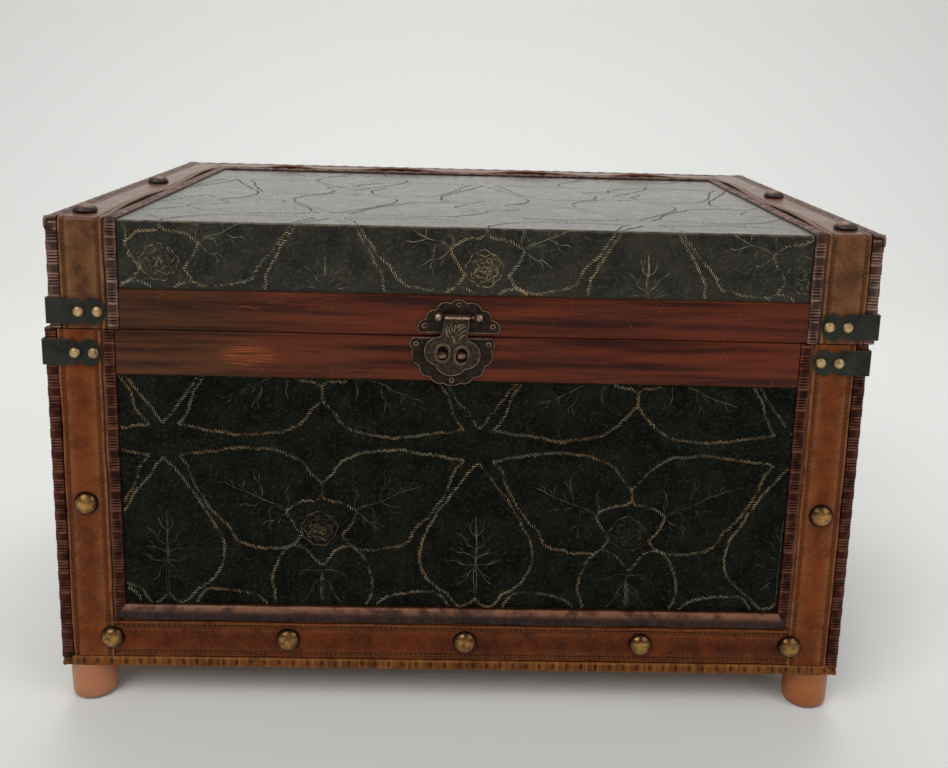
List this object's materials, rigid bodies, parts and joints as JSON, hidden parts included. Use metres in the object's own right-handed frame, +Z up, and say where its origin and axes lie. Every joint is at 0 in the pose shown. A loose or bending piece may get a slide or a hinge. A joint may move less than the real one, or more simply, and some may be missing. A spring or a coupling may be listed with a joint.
{
  "type": "dowry chest",
  "caption": "Small leather-covered dowry chest with hinged lid, polished wood rim bands, embossed panels, stitched straps, domed nails, scalloped hasp latch and round feet.",
  "frame": {"origin": "middle of the chest's outline, on the floor under the feet", "axes": "+Z up, front with the latch towards -Y, +X to the right seen from the front"},
  "size_m": [0.4404, 0.2915, 0.2768],
  "materials": {
    "carcase_wood": "plain satin board",
    "band_wood": "glossy dark red-brown lacquer, lightly scratched",
    "dark_leather": "embossed green-black leather, tan rubbed lines",
    "tan_leather": "waxed tan leather, stitched edges",
    "oxblood_leather": "ribbed oxblood leather welt",
    "tab_leather": "dark leather with worn pale edges",
    "brass_nails": "dull antique brass",
    "bronze": "dark antique bronze, edges rubbed",
    "hinge_brass": "dark antique brass",
    "foot_wood": "satin orange-brown turned wood",
    "steel_nails": "plain steel nail"
  },
  "bodies": {
    "box": {"base_floor_board": "carcase_wood", "base_front_board": "carcase_wood", "base_back_board": "carcase_wood", "base_left_board": "carcase_wood", "base_right_board": "carcase_wood", "base_front_band": "band_wood", "base_back_band": "band_wood", "base_side_bands": "band_wood", "base_front_panel": "dark_leather", "base_back_panel": "dark_leather", "base_side_panels": "dark_leather", "base_corner_welts": "oxblood_leather", "base_inner_welts": "oxblood_leather", "base_bottom_welts": "tan_leather", "base_corner_straps": "tan_leather", "base_bottom_straps": "tan_leather", "base_corner_tabs": "tab_leather", "base_tab_nails": "brass_nails", "base_strap_nails": "brass_nails", "feet": "foot_wood", "foot_nails": "steel_nails", "latch_lower_plate": "bronze", "padlock_eyes": "bronze", "latch_lower_nails": "bronze", "hinge_lower_leaves": "hinge_brass", "hinge_pins": "hinge_brass", "hinge_lower_nails": "hinge_brass"},
    "lid": {"lid_top_board": "carcase_wood", "lid_front_rail": "carcase_wood", "lid_back_rail": "carcase_wood", "lid_left_rail": "carcase_wood", "lid_right_rail": "carcase_wood", "lid_front_band": "band_wood", "lid_back_band": "band_wood", "lid_side_bands": "band_wood", "lid_cover_sheet": "dark_leather", "lid_back_panel": "dark_leather", "lid_side_panels": "dark_leather", "lid_wrap_straps": "tan_leather", "lid_upright_straps": "tan_leather", "lid_back_top_strap": "tan_leather", "lid_corner_welts": "oxblood_leather", "lid_edge_welts": "oxblood_leather", "lid_front_welts": "oxblood_leather", "lid_upright_welts": "oxblood_leather", "lid_top_bead": "oxblood_leather", "lid_corner_tabs": "tab_leather", "lid_tab_nails": "brass_nails", "lid_strap_nails": "brass_nails", "latch_upper_plate": "bronze", "latch_pin": "bronze", "latch_upper_nails": "bronze", "hinge_upper_leaves": "hinge_brass", "hinge_upper_nails": "hinge_brass"},
    "hasp": {"latch_hasp": "bronze"}
  },
  "joints": [
    {"name": "lid_hinge", "type": "hinge", "parent": "box", "child": "lid", "pos_m": [0, 0.14315, 0.2136], "axis": [-1, 0, 0], "range_deg": [0, 105]},
    {"name": "hasp_hinge", "type": "hinge", "parent": "lid", "child": "hasp", "pos_m": [-0.00302, -0.14235, 0.2247], "axis": [-1, 0, 0], "range_deg": [0, 150]}
  ]
}
